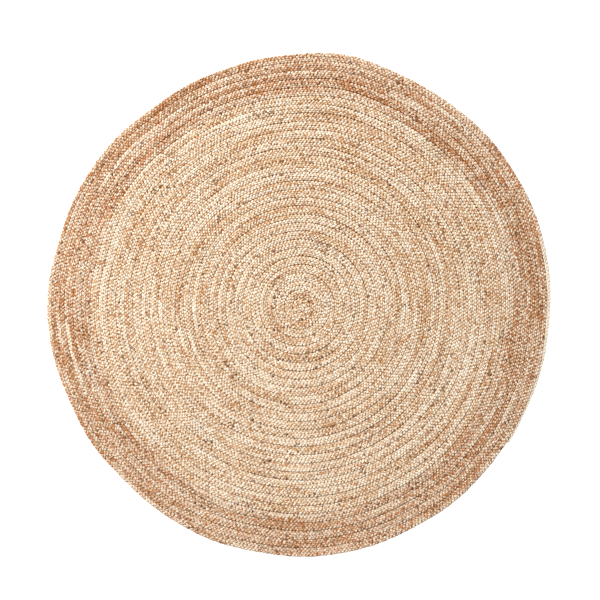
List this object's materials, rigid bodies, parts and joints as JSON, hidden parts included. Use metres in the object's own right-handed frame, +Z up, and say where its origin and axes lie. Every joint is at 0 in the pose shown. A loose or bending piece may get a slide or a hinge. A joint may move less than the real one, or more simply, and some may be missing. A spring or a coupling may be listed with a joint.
{
  "type": "round braided area rug",
  "caption": "Flat round area rug: a natural jute plait wound into a coil from a small eye and laced edge to edge, with darker outer rows and a tapered end.",
  "frame": {"origin": "middle of the rug's bounding box, on its underside", "axes": "+Z up, out of the walking surface; +X towards the side where each coil node starts and the tail begins; the coil goes outwards clockwise seen from +Z"},
  "size_m": [1.1998, 1.1947, 0.007],
  "materials": {
    "natural_jute": "matt three-strand jute plait, honey and cream with tan and brown flecks",
    "border_jute": "matt three-strand jute plait, tan with rust and brown flecks",
    "sewing_thread": "matt twisted cotton thread"
  },
  "bodies": {
    "root": {"centre_eye": "natural_jute", "field_coil_01": "natural_jute", "field_coil_02": "natural_jute", "field_coil_03": "natural_jute", "field_coil_04": "natural_jute", "field_coil_05": "natural_jute", "field_coil_06": "natural_jute", "field_coil_07": "natural_jute", "field_coil_08": "natural_jute", "field_coil_09": "natural_jute", "field_coil_10": "natural_jute", "field_coil_11": "natural_jute", "field_coil_12": "natural_jute", "field_coil_13": "natural_jute", "field_coil_14": "natural_jute", "field_coil_15": "natural_jute", "field_coil_16": "natural_jute", "field_coil_17": "natural_jute", "field_coil_18": "natural_jute", "field_coil_19": "natural_jute", "field_coil_20": "natural_jute", "field_coil_21": "natural_jute", "field_coil_22": "natural_jute", "field_coil_23": "natural_jute", "field_coil_24": "natural_jute", "border_coil_25": "border_jute", "border_coil_26": "border_jute", "border_coil_27": "border_jute", "border_coil_28": "border_jute", "border_coil_29": "border_jute", "end_tail": "border_jute", "seam_thread_01": "sewing_thread", "seam_thread_02": "sewing_thread", "seam_thread_03": "sewing_thread", "seam_thread_04": "sewing_thread", "seam_thread_05": "sewing_thread", "seam_thread_06": "sewing_thread", "seam_thread_07": "sewing_thread", "seam_thread_08": "sewing_thread", "seam_thread_09": "sewing_thread", "seam_thread_10": "sewing_thread"}
  },
  "joints": []
}
